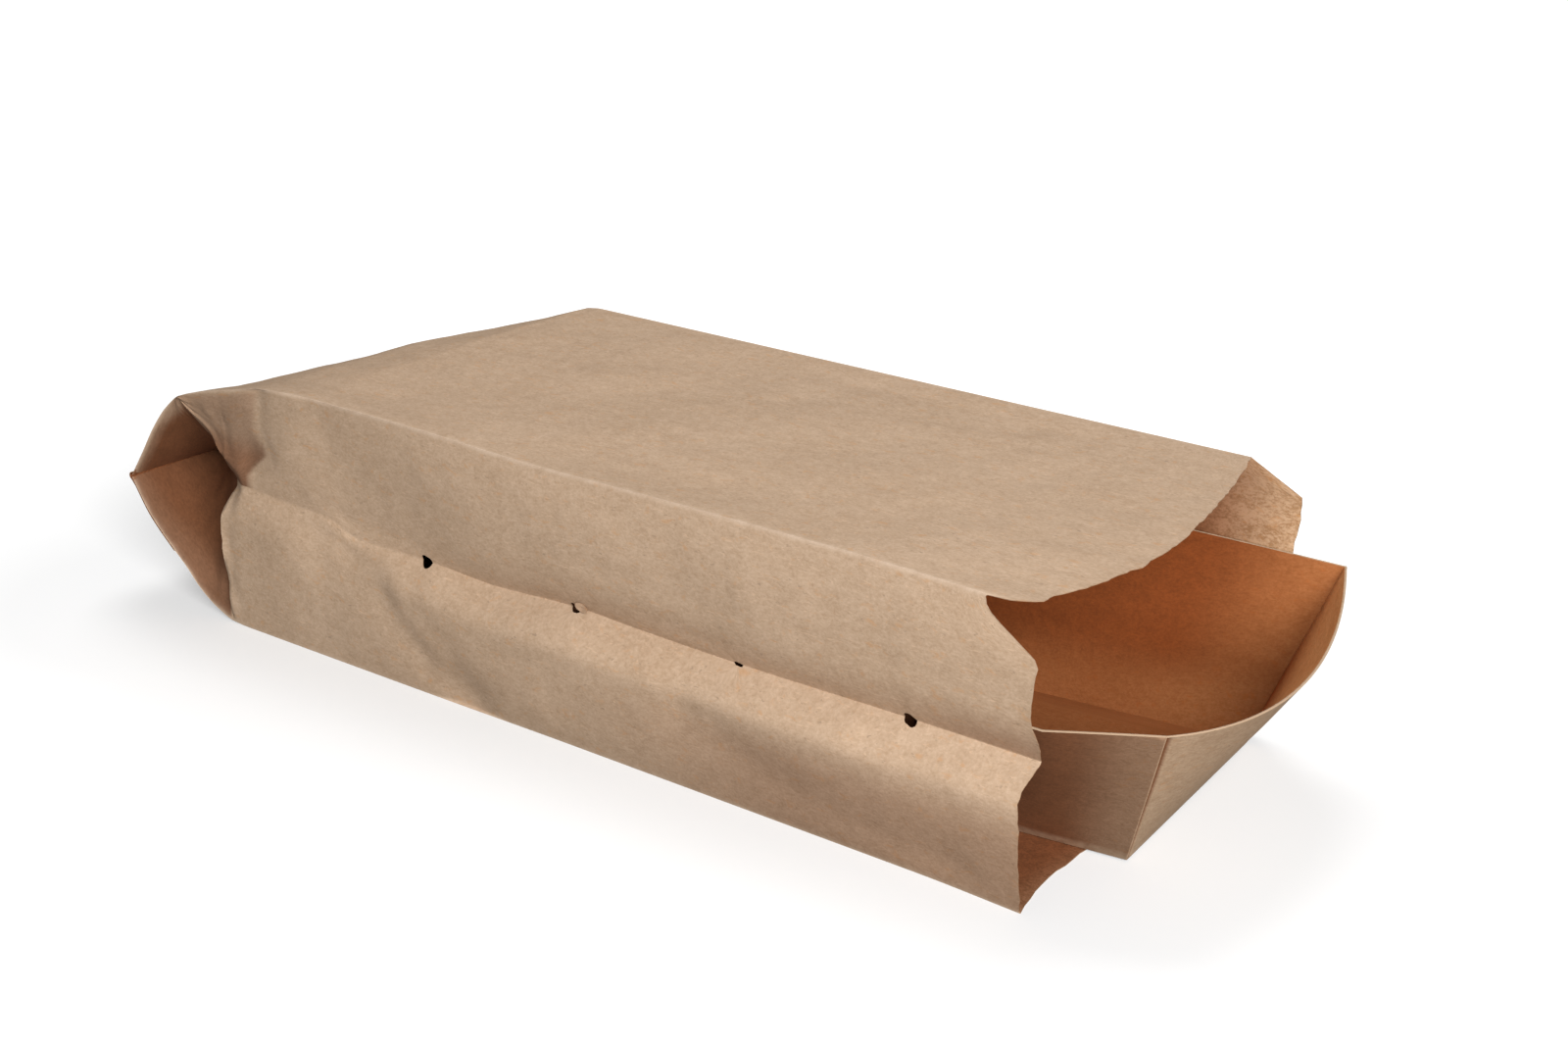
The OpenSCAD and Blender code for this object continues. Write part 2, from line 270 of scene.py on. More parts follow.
def ring(x):
    """One closed loop round the bag: y from the near edge, and height."""
    low = back_z(x)
    yf = panel_steps(FRONT_N) * BAG_W
    near_up, near_down = upper_leaf(x, near_top(x), NEAR_CREASE), lower_leaf(x, low, NEAR_CREASE)
    far_up, far_down = upper_leaf(x, far_top(x), FAR_CREASE), lower_leaf(x, low, FAR_CREASE)
    yb = mix(near_down[0][-1], BAG_W - far_down[0][-1], panel_steps(BACK_N))
    y = [
        yb,
        BAG_W - far_down[0][::-1][1:],
        BAG_W - far_up[0][::-1][1:],
        yf[::-1][1:],
        near_up[0][1:],
        near_down[0][1:-1],
    ]
    z = [
        np.full(len(yb), low),
        far_down[1][::-1][1:],
        far_up[1][::-1][1:],
        soft_top_z(x, yf)[::-1][1:],
        near_up[1][1:],
        near_down[1][1:-1],
    ]
    return np.concatenate(y), np.concatenate(z)


def ring_marks():
    """Index of each fold in a ring, and each point's place on the flat sheet."""
    back = BACK_N + 3
    far_crease = back - 1 + len(LOWER) - 1
    far_top_at = far_crease + len(UPPER) - 1
    near_top_at = far_top_at + FRONT_N + 2
    near_crease = near_top_at + len(UPPER) - 1
    half = GUSSET_W / 2
    sheet = np.concatenate([
        panel_steps(BACK_N) * BAG_W,
        BAG_W + (1 - LOWER[::-1][1:]) * half,
        BAG_W + half + (1 - UPPER[::-1][1:]) * half,
        BAG_W + GUSSET_W + (1 - panel_steps(FRONT_N)[::-1][1:]) * BAG_W,
        2 * BAG_W + GUSSET_W + UPPER[1:] * half,
        2 * BAG_W + GUSSET_W + half + LOWER[1:-1] * half,
    ])
    marks = {
        "back_far": back - 1,
        "far_crease": far_crease,
        "far_top": far_top_at,
        "near_top": near_top_at,
        "near_crease": near_crease,
    }
    return marks, sheet


MARKS, SHEET = ring_marks()
FOLDS = {name: SHEET[at] for name, at in MARKS.items()}  # each fold's place on the flat sheet
RING_N = len(SHEET)
PERIMETER = 2 * (BAG_W + GUSSET_W)


def stations():
    """Places along the bag, finest at the vent holes and at the closed end."""
    made = [MOUTH_X, 140.2, 139.2, 138, 136.5, 134.5, 132, 129.2, 126.2, 123, 120, 117, 114]
    for n, hole in enumerate(HOLES_X):
        made += [hole + 4, hole + 3, hole - 3, hole - 4]
        made += [hole + k * CELL for k in range(-HOLE_CELLS, HOLE_CELLS + 1)]
        after = HOLES_X[n + 1] + 4 if n + 1 < len(HOLES_X) else -99
        gap = hole - 4 - after
        count = round(gap / 2.6)
        made += [hole - 4 - gap * k / count for k in range(1, count)]
    made += list(np.linspace(-99, -134, 22)) + list(np.linspace(-135.4, WALL_END_X + 0.8, 7))
    made += [WALL_END_X + s for s in (0.4, 0, -0.4, -0.8)]
    made += list(np.linspace(WALL_END_X - 1.8, SEAM_X + 0.5, 34)) + [SEAM_X]
    return np.array(sorted({round(float(x), 3) for x in made}, reverse=True))


def mouth_cut():
    """How far the cut mouth stands out past or inside MOUTH_X at each point of a ring."""
    back = glide(panel_steps(BACK_N) * BAG_W, [
        (0, -0.1), (12.8, -3.1), (21.4, -4.2), (36, -4.9), (75, -6.2), (105, -6.8), (BAG_W, -7.2),
    ])
    upper_h = mix(GUSSET_W, LOWER_LEAF, UPPER)
    lower_h = mix(LOWER_LEAF, 0, LOWER)
    near_up = straight(upper_h, [
        (39.4, 1.1), (43.2, 1.5), (48, 0.7), (52, 0.5), (56, 1.0), (61, 2.2), (64.5, 3.0), (65.9, 2.9),
        (75.4, -11.4), (78.6, -11.9),
    ])
    near_down = glide(lower_h, [
        (0, -0.1), (8.5, 0.6), (16.7, 0.4), (26, 0.3), (30, 0.1), (34.6, 0.4), (38.5, 0.9), (39.6, 1.1),
    ])
    far_up = straight(upper_h, [(39.4, 1.4), (55, 2.6), (66, 3.9), (70.8, 3.8), (78.3, -10.8), (78.6, -10.9)])
    far_down = glide(lower_h, [(0, -7.2), (6, -6.0), (14, -3.4), (24, -0.6), (32, 0.8), (39.6, 1.4)])
    front = glide(panel_steps(FRONT_N) * BAG_W, [
        (0, -11.4), (0.9, -5.0), (2.6, -2.6), (5.9, 0.4), (8.2, -0.2), (14.6, 1.8), (19.5, 3.0), (22, 3.9),
        (28, 4.6), (32.5, 5.2), (37, 6.6), (39.6, 6.4), (42.2, 5.6), (48.2, 5.9), (60, 4.7), (72, 2.4),
        (82.6, 0.0), (95, -3.4), (108, -7.0), (BAG_W, -10.8),
    ])
    cut = np.concatenate([back, far_down[::-1][1:], far_up[::-1][1:], front[::-1][1:], near_up[1:], near_down[1:-1]])
    flat = np.zeros(RING_N)
    ragged = ripple(SHEET, flat, 2.6, 4.2, 2) * 0.45 + ripple(SHEET, flat, 7.5, 9.1, 2) * 0.35
    return cut + ragged


def dent(x, z, line, width, depth):
    """A soft trough along a line of (x, z) points on a side wall."""
    best = np.full(np.shape(x), 1e9)
    for (x0, z0), (x1, z1) in zip(line, line[1:]):
        dx, dz = x1 - x0, z1 - z0
        t = np.clip(((x - x0) * dx + (z - z0) * dz) / (dx * dx + dz * dz), 0, 1)
        best = np.minimum(best, (x - x0 - t * dx) ** 2 + (z - z0 - t * dz) ** 2)
    return depth * np.exp(-best / width ** 2)


def fade(distance, reach):
    return ease(np.abs(distance) / reach)


def bag_points():
    """The sheet's grid of points, each point's place round the flat sheet, and the places along the bag."""
    xs = stations()
    cut = mouth_cut()
    rows = [ring(x) for x in xs]
    y, z = np.array([r[0] for r in rows]), np.array([r[1] for r in rows])
    x = np.repeat(xs[:, None], RING_N, axis=1)
    side = np.zeros((len(xs), RING_N), int)
    m = MARKS
    side[:, m["back_far"] + 1: m["far_top"]] = 1
    side[:, m["near_top"] + 1:] = -1
    near = side == -1
    far = side == 1
    front = np.zeros_like(near)
    front[:, m["far_top"]: m["near_top"] + 1] = True
    along = ease((x - FOLD_TIP_X) / 18)
    closing = ease((x - SEAM_X) / 25)

    # Waves and dents of the side walls, dying out at the folds
    s = np.repeat(SHEET[None, :], len(xs), axis=0)
    calm_top = fade(s - FOLDS["near_top"], 9)
    calm_crease = fade(s - FOLDS["near_crease"], 5)
    calm_low = fade(PERIMETER - s, 7)
    wave = ripple(x, s, 60, 1.7, 2) * 0.75 + ripple(x, s, 17, 6.3, 3) * 0.2
    near_push = wave * calm_crease * np.minimum(calm_top, calm_low) * along
    near_push -= dent(x, z, [(-99, 33), (-77.5, 29.6), (-61, 17.8), (-41, 4)], 7.5, 1.25) * calm_crease * along
    near_push += dent(x, z, [(-84, 37.5), (-71, 34.4), (-64, 22.5), (-52, 14)], 4.5, 0.8) * calm_crease * along
    near_push -= dent(x, z, [(-123, 80), (-126, 63.6), (-122.6, 56.9), (-131, 50.7)], 3.6, 0.9) * ease((x + 150) / 12)
    near_push += dent(x, z, [(-108, 72), (-112, 58), (-104, 50)], 8, 0.5) * calm_crease
    near_push -= dent(x, z, [(40, 22), (75, 12), (118, 6)], 7, 0.8) * calm_low
    near_push += dent(x, z, [(-20, 30), (30, 31), (100, 30)], 6, 0.5) * calm_crease
    near_push -= dent(x, z, [(96, 33), (118, 35), (139, 37)], 3.2, 0.9) * calm_crease * ease((MOUTH_X + 2 - x) / 10)
    far_calm = fade(s - FOLDS["far_top"], 9) * fade(s - FOLDS["far_crease"], 5) * fade(s - BAG_W, 7)
    far_push = (ripple(x, s, 50, 8.8, 2) * 1.2 + ripple(x, s, 16, 3.1, 3) * 0.45) * far_calm * along
    far_push -= dent(x, z, [(-90, 30), (-60, 20), (-30, 6)], 8, 1.6) * far_calm
    y = np.where(near, y - near_push, y)
    y = np.where(far, y + far_push, y)

    # Crumpled leaves in the pockets of the closed end
    pocket = ripple(x * 1.3, s, 13, 2.2, 3) * 0.9 * (1 - ease((x - WALL_END_X) / 8)) * closing
    leaf_calm = fade(s - FOLDS["near_top"], 12) * calm_crease * calm_low
    far_leaf_calm = fade(s - FOLDS["far_top"], 12) * fade(s - FOLDS["far_crease"], 5) * fade(s - BAG_W, 7)
    y = np.where(near, y + pocket * leaf_calm, y)
    y = np.where(far, y - pocket * far_leaf_calm, y)

    # The front panel sags a little between its folds
    edge_calm = ease(np.minimum(y, BAG_W - y) / 16)
    swell = ripple(x, y, 75, 5.5, 2) + ripple(x, y, 24, 7.7, 3) * 0.28
    z = np.where(front, z + (swell - 0.5) * edge_calm * closing, z)
    lip = ease((x - 105) / 36) * np.sin(math.pi * np.clip(y / BAG_W, 0, 1))
    z = np.where(front, z + lip * 0.7, z)

    # The wall's lower fold curves towards the mouth at its top
    low_leaf = near & (s > FOLDS["near_crease"])
    curve = glide(z, [(0, 1.8), (10, 0.2), (33, -0.8), (38, 0), (42.7, 1.8), (45.2, 4.2)])
    curve = curve * np.exp(-((x - WALL_END_X) / 7) ** 2)
    x = np.where(low_leaf, x + curve * fade(s - FOLDS["near_crease"], 2), x)

    # The mouth's cut edge
    reach = np.clip((x - 112) / (MOUTH_X - 112), 0, 1)
    x = x + cut[None, :] * reach ** 1.6
    x = open_vents(x, y, z, xs)
    return np.stack([x[0], x[1] - BAG_W / 2, x[2]], axis=-1), s, xs


def vent_radius(angle, hole, which):
    """A punched hole that tore a little: longer along the bag, and not quite round."""
    long_r, short_r, turn = ((2.2, 1.2, -0.4), (1.7, 0.4, -0.1), (1.95, 1.0, -0.35), (2.1, 1.5, -0.5))[hole]
    a = angle - turn * which
    return long_r * short_r / np.hypot(short_r * np.cos(a), long_r * np.sin(a)) * (1 + 0.07 * np.sin(3 * angle + hole))


def open_vents(x, y, z, xs):
    """Moves the grid round each vent hole so that the cells left out make a round opening."""
    reach = 4
    for which, name in ((-1, "near_crease"), (1, "far_crease")):
        c = MARKS[name]
        steps = (LOWER[: HOLE_CELLS + 3] * LOWER_LEAF, (1 - UPPER[::-1][: HOLE_CELLS + 3]) * UPPER_LEAF)
        below, above = (steps[0], steps[1]) if which == -1 else (steps[1], steps[0])
        offsets = np.concatenate([-above[::-1], below[1:]])
        cols = np.arange(c - len(above) + 1, c + len(below))
        for n, hole in enumerate(HOLES_X):
            rows = [i for i, v in enumerate(xs) if abs(v - hole) <= reach + 0.01]
            for i in rows:
                old_y, old_z = y[i, cols].copy(), z[i, cols].copy()
                dx = xs[i] - hole
                for k, m in enumerate(offsets):
                    q = max(abs(dx), abs(m))
                    if q < 1e-6 or q > reach:
                        continue
                    angle = math.atan2(m, dx)
                    r = vent_radius(angle, n, which)
                    square = HOLE_CELLS * CELL
                    target = r * q / square if q <= square else r + (q - square) * 0.95
                    w = 1 - ease((q - square) / (reach - square))
                    length = math.hypot(dx, m)
                    new_dx, new_m = mix(dx, dx / length * target, w), mix(m, m / length * target, w)
                    x[i, cols[k]] += new_dx - dx
                    y[i, cols[k]] = np.interp(new_m, offsets, old_y)
                    z[i, cols[k]] = np.interp(new_m, offsets, old_z)
    return x, y, z


def vent_cells(xs):
    """Grid cells left out for the vent holes, as (row, column)."""
    gone = set()
    for name in ("near_crease", "far_crease"):
        c = MARKS[name]
        for hole in HOLES_X:
            centre = int(np.argmin(np.abs(xs - hole)))
            for i in range(centre - HOLE_CELLS, centre + HOLE_CELLS):
                for j in range(c - HOLE_CELLS, c + HOLE_CELLS):
                    gone.add((i, j))
    return gone


def make_piece(name, points, faces, sheet, materials, marks):
    """A mesh object in metres, with its place on the flat sheet in centimetres as UVs and its marks as attributes."""
    mesh = bpy.data.meshes.new(name)
    mesh.from_pydata((np.asarray(points) * MM).tolist(), [], faces)
    uv = np.asarray(sheet, float)
    if len(uv) == len(points):
        corners = np.zeros(len(mesh.loops), int)
        mesh.loops.foreach_get("vertex_index", corners)
        uv = uv[corners]
    mesh.uv_layers.new(name="sheet").data.foreach_set("uv", (uv / 10).ravel())
    for label in ("wear_and_highlight", "painted_shade", "inner"):
        values = np.broadcast_to(np.asarray(marks.get(label, 0.0), float).ravel(), len(points))
        mesh.attributes.new(label, "FLOAT", "POINT").data.foreach_set("value", values.copy())
    mesh.polygons.foreach_set("use_smooth", [True] * len(mesh.polygons))
    for material in materials:
        mesh.materials.append(material)
    mesh.update()
    piece = bpy.data.objects.new(name, mesh)
    bpy.context.scene.collection.objects.link(piece)
    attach(piece, "root")
    return piece


def thicken(piece, inside=0, group=""):
    """Gives a sheet its thickness, towards its inner side."""
    shell = piece.modifiers.new("paper", "SOLIDIFY")
    shell.vertex_group = group
    shell.thickness = PAPER * MM
    shell.offset = -1
    shell.use_even_offset = False
    shell.material_offset_rim = 1
    shell.material_offset = inside
    edges = piece.modifiers.new("folds", "EDGE_SPLIT")
    edges.split_angle = math.radians(55)


def wear_and_highlight_at_folds(s):
    """How pale each point is, rubbed and partly a painted highlight where a fold catches the light: along the top
    creases, less along the others.
    """

    def line(distance, width):
        return np.exp(-(distance / width) ** 2)

    wear_and_highlight = line(s - FOLDS["near_top"], 0.6) * 1.1 + line(s - FOLDS["far_top"], 0.6) * 0.9
    wear_and_highlight += line(s - BAG_W, 0.8) * 0.5 + line(np.minimum(s, PERIMETER - s), 0.8) * 0.5
    wear_and_highlight += line(s - FOLDS["far_crease"], 0.6) * 0.3
    return np.clip(wear_and_highlight, 0, 1)


def painted_shade_places(points, s):
    """How much painted shade each point takes: in the pockets, under the turned-in leaf and by the crease."""
    m = MARKS
    x, y, z = points[..., 0], points[..., 1], points[..., 2]
    tucked = BAG_W / 2 - np.abs(y)
    start = mix(0.6, 4.2, ease((x - FOLD_TOP_X + 1) / 5))
    painted_shade = ease((tucked - start) / 4) * (1 - ease((x - FOLD_TIP_X - 2) / 5))
    upper = (s > FOLDS["near_top"]) & (s < FOLDS["near_crease"])
    lower = (s > FOLDS["near_crease"]) | ((s > BAG_W) & (s < FOLDS["far_crease"]))
    # Painted shade on the side wall's end, where it rounds in under the top fold.
    turned_in = (0.42 + 0.42 * ease((62 - z) / 9)) * ease((flap_bend(z) - x) / 3) * ease((s - FOLDS["near_top"]) / 3)
    painted_shade = np.where(upper & (x < -118), np.maximum(painted_shade, turned_in), painted_shade)
    # Painted shade over the pocket's lower leaf, which lies in the wall's shadow.
    painted_shade = np.where(lower & (x < WALL_END_X - 0.2), 0.87 + 0.13 * ease((tucked - 1) / 8), painted_shade)
    # Painted shade below the centre crease on the lower wall, and in the valley above the crease towards the mouth.
    past = s - FOLDS["near_crease"]
    below = 0.05 * ease((past - 8) / 20) * ease((x + 100) / 60)
    below = below + 0.42 * ease((past - 6) / 15) * ease((x + 10) / 90)
    above = (0.18 + 0.28 * ease((x - 95) / 40)) * ease((past + 13) / 12) * ease((x + 60) / 60) * (past < -0.2)
    painted_shade = np.maximum(painted_shade, np.where(past > 0, below, above * (s > FOLDS["near_top"])))
    painted_shade[:, m["far_top"]: m["near_top"] + 1] = 0
    painted_shade[:, : m["back_far"] + 1] = 0
    return np.clip(painted_shade, 0, 1)


def inside_painted_shade(x):
    """How much painted shade the paper's inner side takes: full inside the bag, less at the lit mouth."""
    back = MARKS["back_far"] + 1
    inner = 1 - ease((x - 110) / 36) * 0.95
    inner[:, :back] = (1 - 0.25 * ease((x - 130) / 12))[:, :back]
    inner[:, MARKS["near_top"]:] = 1
    return inner


def make_bag(paper, cut_paper, paper_inside):
    """The gusseted bag as one lofted sheet. Gives back its grid of points, from which the vent flap hangs."""
    points, s, xs = bag_points()
    rows, cols = points.shape[:2]
    gone = vent_cells(xs)
    faces, sheet = [], []
    for i in range(rows - 1):
        for j in range(cols):
            if (i, j) in gone:
                continue
            k = (j + 1) % cols
            faces.append((i * cols + j, (i + 1) * cols + j, (i + 1) * cols + k, i * cols + k))
            s0, s1 = SHEET[j], SHEET[k] if k else PERIMETER
            sheet += [(xs[i], s0), (xs[i + 1], s0), (xs[i + 1], s1), (xs[i], s1)]
    # Marks: folds rubbed paler with a painted highlight, painted shade in the pockets and by the crease, and painted
    # shade over the inner side.
    marks = {"wear_and_highlight": wear_and_highlight_at_folds(s), "painted_shade": painted_shade_places(points, s), "inner": inside_painted_shade(points[..., 0])}
    finishes = [paper, cut_paper, paper_inside]
    bag = make_piece("paper_bag", points.reshape(-1, 3), faces, sheet, finishes, marks)

    # The sheet is thinned towards the seam, where the leaves are pressed together
    thin = bag.vertex_groups.new(name="paper")
    for i, x_row in enumerate(xs):
        share = float(0.06 + 0.94 * ease((x_row - SEAM_X) / 22))
        thin.add(list(range(i * cols, (i + 1) * cols)), share, "REPLACE")
    thicken(bag, inside=2, group="paper")
    drop_loose(bag)
    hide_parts("bag")
    return points


def drop_loose(piece):
    """Takes out the points inside the vent holes, which no face uses."""
    work = bmesh.new()
    work.from_mesh(piece.data)
    for v in [v for v in work.verts if not v.link_faces]:
        work.verts.remove(v)
    work.to_mesh(piece.data)
    work.free()


def grid_faces(rows, cols, closed=False):
    span = cols if closed else cols - 1
    return [
        (i * cols + j, i * cols + (j + 1) % cols, (i + 1) * cols + (j + 1) % cols, (i + 1) * cols + j)
        for i in range(rows - 1)
        for j in range(span)
    ]


def make_turned_strip(paper, cut_paper, paper_inside):
    """The end of the tube, folded round the seam and glued on the back panel."""
    fold = 1.25
    bend = [
        (SEAM_X - 0.1 - fold * math.cos(a), SEAM_Z + fold * math.sin(a))
        for a in np.radians(np.linspace(70, -70, 9))
    ]
    under_x = np.linspace(SEAM_X + 1.2, STRIP_X, 16)
    under = [(x, float(back_z(x)) - mix(0.9, 0.65, n / 15)) for n, x in enumerate(under_x)]
    profile = np.array(bend + under)
    ys = np.concatenate([[0, 0.5], np.linspace(2, BAG_W - 2, 60), [BAG_W - 0.5, BAG_W]])
    run = np.concatenate([[0], np.cumsum(np.hypot(*np.diff(profile, axis=0).T))])
    points, sheet = [], []
    for y in ys:
        wave = noise.fractal(Vector((y / 14, 3.3, 0.5)), 0.6, 2.1, 3)
        ragged = 0.35 * noise.noise(Vector((y / 3.1, 8.2, 1.1)))
        for n, (x, z) in enumerate(profile):
            free = max(0.0, (n - len(bend) - 6) / 10)
            points.append((x + free * ragged, y - BAG_W / 2, z - 0.22 * wave * free))
            sheet.append((x - 40, y + run[n]))
    faces = [tuple(reversed(f)) for f in grid_faces(len(ys), len(profile))]
    finishes = [paper, cut_paper, paper_inside]
    # The strip's inner side takes the full painted shade of the bag's inside.
    strip = make_piece("turned_strip", points, faces, sheet, finishes, {"inner": 1.0})
    thicken(strip, inside=2)


def make_vent_flap(hole, grid, paper, cut_paper):
    """The punched scrap that still hangs at the upper side of one near vent hole."""
    row = int(np.argmin(np.abs(stations() - HOLES_X[hole] - 3)))
    centre = grid[row, MARKS["near_crease"] - 4]
    turn, long_r, short_r = 0.42, 2.0, 1.25
    rounds, spokes = 6, 20
    points, sheet = [], []
    for i in range(1, rounds + 1):
        r = i / rounds
        for j in range(spokes):
            a = 2 * math.pi * j / spokes
            along, down = long_r * r * math.cos(a), short_r * r * math.sin(a)
            x = along * math.cos(turn) - down * math.sin(turn)
            z = -(along * math.sin(turn) + down * math.cos(turn))
            stand = 0.25 + 0.5 * ease((0.6 - along) / 2.4)
            points.append((centre[0] + x + 0.5, centre[1] - stand, centre[2] + z - 0.6))
            sheet.append((centre[0] + x, 400 + z))
    faces = grid_faces(rounds, spokes, closed=True)
    faces += [(len(points), j, (j + 1) % spokes) for j in range(spokes)]
    points.append(tuple(np.mean(points[:spokes], axis=0)))
    sheet.append((centre[0], 400))
    faces = [tuple(reversed(f)) for f in faces]
    # The flap takes a light painted shade.
    flap = make_piece("vent_flap", points, faces, sheet, [paper, cut_paper], {"painted_shade": 0.3})
    thicken(flap)


# Tray, in its own frame: the origin is the base's front near corner

def corner_run(x):
    """From 0 to 1 along the near wall's front end, where its corner is drawn in and up."""
    return min(1, max(0, (x + END_LEAN / 2) / (END_LEAN * 1.5)))


def near_line(x):
    return ((NEAR_CLEAR - BASE_Y) - x * math.sin(TRAY_YAW)) / math.cos(TRAY_YAW) + CORNER_DRAW * corner_run(x)


def far_line(x):
    return ((BAG_W - FAR_CLEAR - BASE_Y) - x * math.sin(TRAY_YAW)) / math.cos(TRAY_YAW)


def wall_top(lean):
    return math.sqrt(WALL_H * WALL_H - lean * lean)


def near_rim(f):
    x = mix(-TRAY_L - END_LEAN, END_LEAN, f)
    y = near_line(x)
    return np.array([x, y, wall_top(y) + CORNER_RISE * corner_run(x)])


def far_rim(f):
    lean = END_LEAN + FAR_LEAN
    x = mix(-TRAY_L - lean, lean, f)
    y = far_line(x)
    return np.array([x, y, wall_top(y - TRAY_BASE_W)])


def arch(f):
    return 4 * f * (1 - f)


def end_rim(f, a, b, out):
    return mix(a, b, f) + np.array([out * END_BOW * arch(f), 0, -END_DIP * arch(f)])


def crowded(n, length, near=(0.35, 0.8, 1.5, 2.6)):
    """Fractions along a wall, with extra ones close to both of its corners."""
    ends = [d / length for d in near]
    inner = list(np.linspace(near[-1] / length, 1 - near[-1] / length, n))
    return [0.0] + ends[:-1] + inner + [1 - d for d in reversed(ends[:-1])]


def tray_loop():
    """Base point, rim point, nearness to a corner, flat place and side for each column round the tray."""
    loop = []

    def add(side, f, base_x, base_y, rim, length, start):
        loop.append((np.array([base_x, base_y, 0]), rim, min(f, 1 - f) * length, start + length * f, side))

    for f in crowded(60, TRAY_SIDE):
        add("near", f, -TRAY_L * (1 - f), 0, near_rim(f), TRAY_SIDE, 0)
    for f in crowded(34, TRAY_END):
        add("front", f, 0, TRAY_BASE_W * f, end_rim(f, near_rim(1), far_rim(1), 1), TRAY_END, TRAY_SIDE)
    for f in crowded(60, TRAY_SIDE):
        g = 1 - f
        add("far", f, -TRAY_L * (1 - g), TRAY_BASE_W, far_rim(g), TRAY_SIDE, TRAY_SIDE + TRAY_END)
    for f in crowded(34, TRAY_END):
        g = 1 - f
        rim = end_rim(g, near_rim(0), far_rim(0), -1)
        add("back", f, -TRAY_L, TRAY_BASE_W * g, rim, TRAY_END, 2 * TRAY_SIDE + TRAY_END)
    return loop


WALL_STEPS = [0, 0.015, 0.035, 0.07] + list(np.linspace(0.12, 0.94, 18)) + [0.975, 0.99]
TRAY_STEPS = WALL_STEPS + [1.0] * 3 + WALL_STEPS[::-1]  # up the outside, over the cut rim and down the inside
RIM_ROW = len(WALL_STEPS)
TRAY_MIDDLE = np.array([-TRAY_L / 2, TRAY_BASE_W / 2, 0])


def outward_ways(loop):
    """Which way each column of the tray's wall faces."""
    ways = []
    for k, (base, rim, *_) in enumerate(loop):
        before, after = (loop[j][0] * 0.5 + loop[j][1] * 0.5 for j in (k - 1, (k + 1) % len(loop)))
        way = np.cross(after - before, rim - base)
        way /= max(1e-6, np.linalg.norm(way))
        ways.append(-way if np.dot(way, base * 0.5 + rim * 0.5 - TRAY_MIDDLE) < 0 else way)
    return ways


def near_front_corner(side, corner, base):
    """Whether a column lies in the fine groove beside the lapped near corner."""
    return side == "front" and base[1] < 10 and 0.2 < corner < 0.9


def tray_wall(loop, ways, inside):
    """Rows of points up the tray's wall: the side walls lap a little over the ends at the corners."""
    made = []
    for h in WALL_STEPS:
        row = []
        for (base, rim, corner, place, side), way in zip(loop, ways):
            bulge = 0.35 * noise.noise(Vector((place / 40, h * 2.2, 5.1))) * math.sin(math.pi * h)
            if inside:
                out = -BOARD
            elif side in ("near", "far"):
                out = 0.35 * math.exp(-((corner / 3.0) ** 2)) * min(1, h * 12)
            else:
                out = (-0.5 if 0.2 < corner < 0.9 else 0.0) * min(1, h * 12)
            row.append(mix(base, rim, h) + way * bulge + way * out)
        made.append(row)
    return made


def tray_marks(loop):
    """Wear along the foot, and painted shade: over the inside, on the near wall towards the bag, and in the corner's
    groove.
    """
    wear, painted_shade = np.zeros((len(TRAY_STEPS), len(loop))), np.zeros((len(TRAY_STEPS), len(loop)))
    wear[:3] = 0.4
    for i, h in enumerate(TRAY_STEPS):
        for k, (base, _rim, corner, _place, side) in enumerate(loop):
            if i > RIM_ROW:
                # Painted shade over the tray's inside: less low on the walls, most of all near the front end, and none
                # on the front end wall.
                foot = (0.38 - 0.18 * ease((-base[0] - 20) / 30)) * ease((0.42 - h) / 0.36)
                painted_shade[i, k] = 0.0 if side == "front" else 0.68 + 0.32 * ease((2 - base[0]) / 34) - foot
            elif side == "near":
                # Painted shade on the near wall, deepest towards the bag, which shades it.
                painted_shade[i, k] = 0.5 + 0.5 * ease(-base[0] / 20)
            # The groove by the lapped corner takes full painted shade.
            if i < RIM_ROW and near_front_corner(side, corner, base):
                painted_shade[i, k] = 1.0
    return wear.ravel(), painted_shade.ravel()


def tray_base(points, n):
    """The base, outside and inside, as rings that close towards its middle."""
    last = len(points) - n
    extra, sheet, faces = [], [], []
    for level, first, flip in ((0.0, 0, True), (BOARD, last, False)):
        ring_start = first
        for scale in (0.82, 0.5, 0.2):
            start = len(points) + len(extra)
            for k in range(n):
                x, y, _ = mix(TRAY_MIDDLE, np.array([*points[first + k][:2], 0]), scale)
                extra.append((x, y, level))
                sheet.append((x + 300, y))
            for k in range(n):
                face = (ring_start + k, start + k, start + (k + 1) % n, ring_start + (k + 1) % n)
                faces.append(face if flip else tuple(reversed(face)))
            ring_start = start
        middle = len(points) + len(extra)
        extra.append((TRAY_MIDDLE[0], TRAY_MIDDLE[1], level))
        sheet.append((TRAY_MIDDLE[0] + 300, TRAY_MIDDLE[1]))
        for k in range(n):
            face = (ring_start + k, middle, ring_start + (k + 1) % n)
            faces.append(face if flip else tuple(reversed(face)))
    return np.array(extra), np.array(sheet), faces


